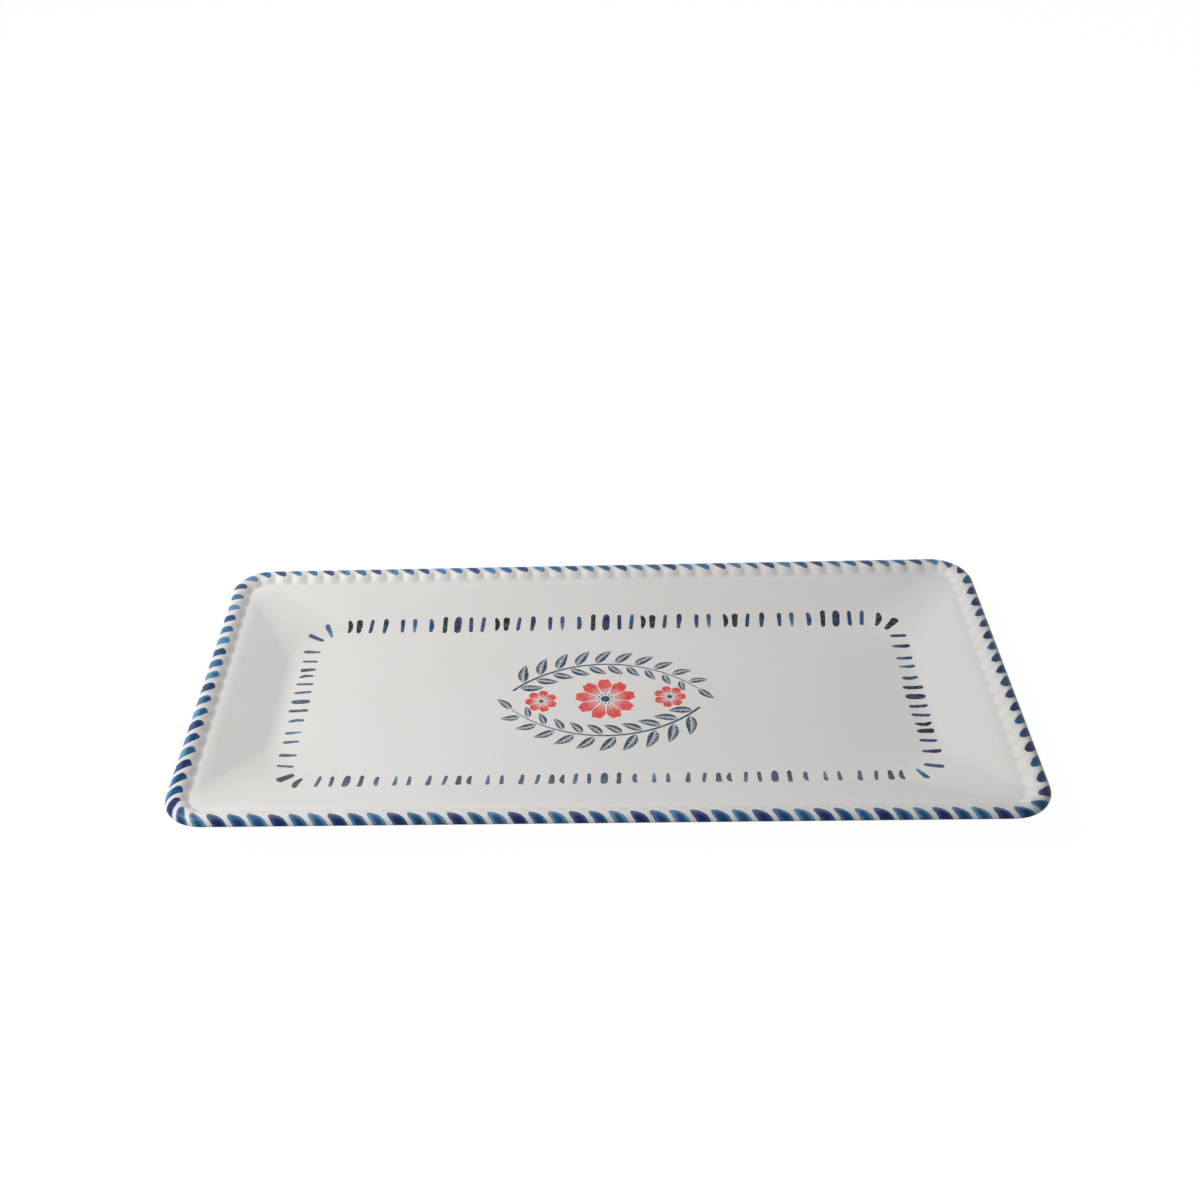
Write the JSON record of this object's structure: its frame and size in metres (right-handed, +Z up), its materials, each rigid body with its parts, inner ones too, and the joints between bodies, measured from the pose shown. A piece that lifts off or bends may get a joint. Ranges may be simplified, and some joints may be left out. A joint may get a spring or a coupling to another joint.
{
  "type": "rectangular platter",
  "caption": "Shallow rectangular serving platter of glazed ceramic with sloping walls, a flat lip, a raised rope-moulded rim and a bare foot ring.",
  "frame": {"origin": "on the table under the middle of the platter, at the level of the foot's underside", "axes": "+X along the platter's length, +Y across it towards the far long side, +Z up"},
  "size_m": [0.36, 0.175, 0.0209],
  "materials": {
    "glaze": "gloss",
    "painted_glaze": "gloss",
    "bare_clay": "matte"
  },
  "bodies": {
    "root": {"platter_body": "glaze", "rope_rim": "painted_glaze", "foot_ring": "bare_clay"}
  },
  "joints": []
}
